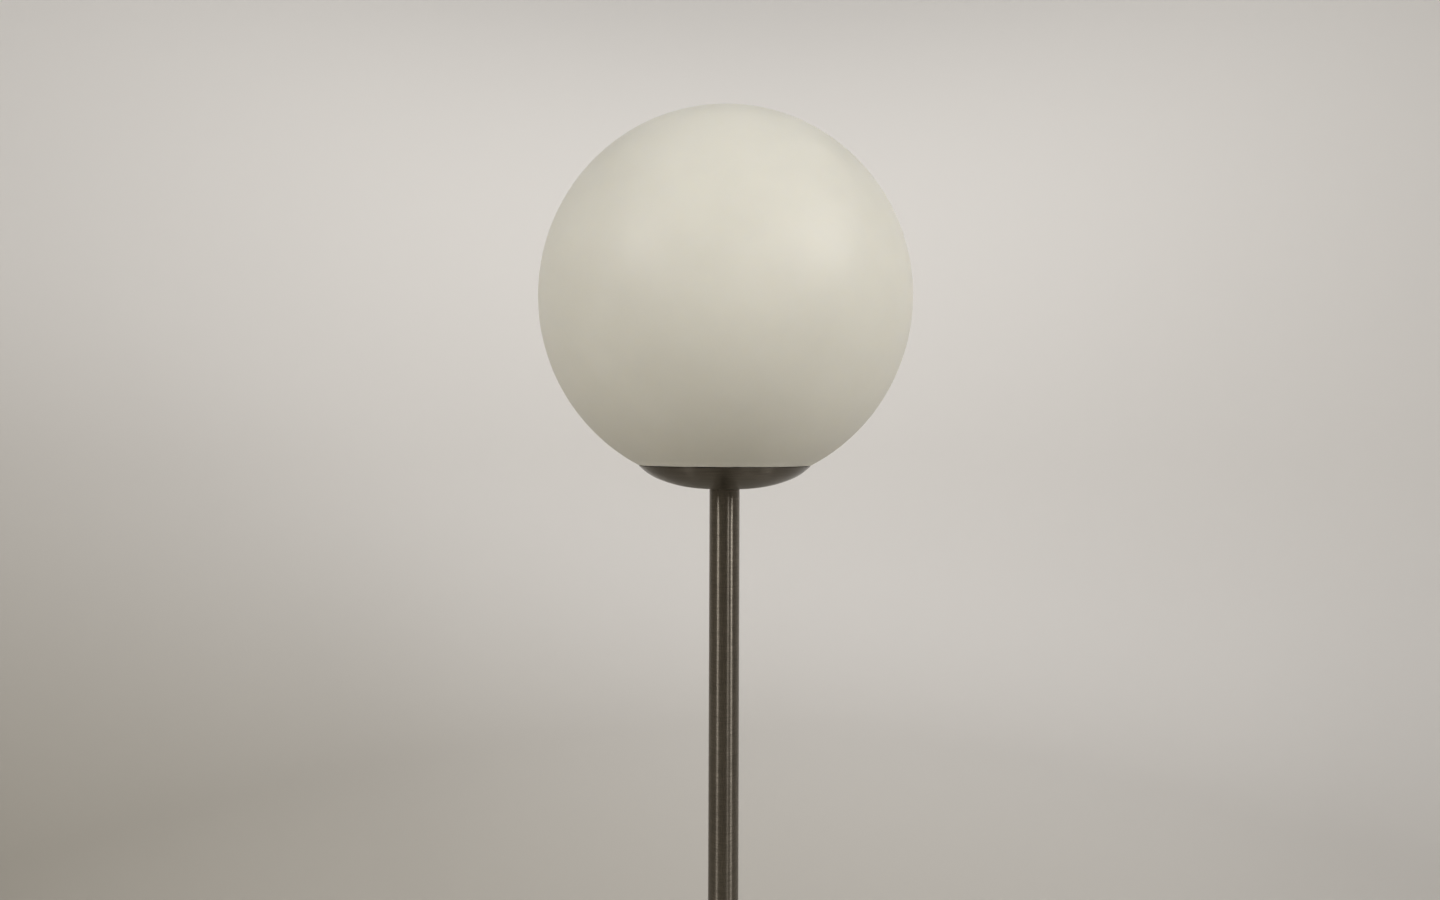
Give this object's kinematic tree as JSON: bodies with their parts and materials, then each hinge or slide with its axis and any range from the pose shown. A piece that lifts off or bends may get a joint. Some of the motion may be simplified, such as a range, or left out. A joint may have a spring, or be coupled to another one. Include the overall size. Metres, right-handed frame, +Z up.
{
  "type": "globe floor lamp",
  "caption": "Floor lamp with a satin opal glass globe on a shallow spun cup, a straight brushed tube and a round weighted base.",
  "frame": {"origin": "on the floor under the middle of the base", "axes": "+Z up the stem to the globe; +Y is the rear, where the cord outlet is; +X to the right seen from the front"},
  "size_m": [0.2999, 0.3, 1.5],
  "materials": {
    "opal_glass": "satin opal",
    "satin_nickel": "brushed round the piece, satin",
    "cast_iron": "as cast",
    "pad_foam": "matt foam",
    "black_plastic": "moulded, fine grain",
    "zinc_steel": "zinc plated",
    "spring_steel": "rolled",
    "gasket_rubber": "translucent silicone",
    "brass": "turned",
    "porcelain": "unglazed",
    "black_glass": "glossy",
    "cap_metal": "plated",
    "white_plastic": "moulded satin",
    "board_metal": "flat",
    "white_diffuser": "frosted"
  },
  "bodies": {
    "stand": {"base_pad": "pad_foam", "base_weight": "cast_iron", "base_cover": "satin_nickel", "cord_bushing": "black_plastic", "foot_nut": "zinc_steel", "foot_lock_washer": "spring_steel", "foot_washer": "zinc_steel", "foot_pipe": "zinc_steel", "foot_bush": "zinc_steel", "stem_tube": "satin_nickel", "head_bush": "zinc_steel", "head_pipe": "zinc_steel", "globe_cup": "satin_nickel", "seat_ring": "zinc_steel", "seat_gasket": "gasket_rubber", "glass_spider": "spring_steel", "cup_washer": "zinc_steel", "earth_tag": "brass", "cup_nut": "zinc_steel", "holder_cap": "black_plastic", "neck_screw": "zinc_steel", "holder_shell": "black_plastic", "holder_insert": "porcelain", "terminals": "brass", "terminal_screws": "zinc_steel", "screw_shell": "brass", "centre_contact": "brass"},
    "globe": {"opal_globe": "opal_glass"},
    "bulb": {"bulb_contact": "brass", "bulb_insulator": "black_glass", "bulb_cap": "cap_metal", "bulb_collar": "white_plastic", "bulb_board": "board_metal", "bulb_dome": "white_diffuser"}
  },
  "joints": [
    {"name": "globe_lift", "type": "slide", "parent": "stand", "child": "globe", "axis": [0, 0, 1], "range_m": [0, 0.2]},
    {"name": "bulb_unscrew", "type": "slide", "parent": "stand", "child": "bulb", "axis": [0, 0, 1], "range_m": [0, 0.03]}
  ]
}
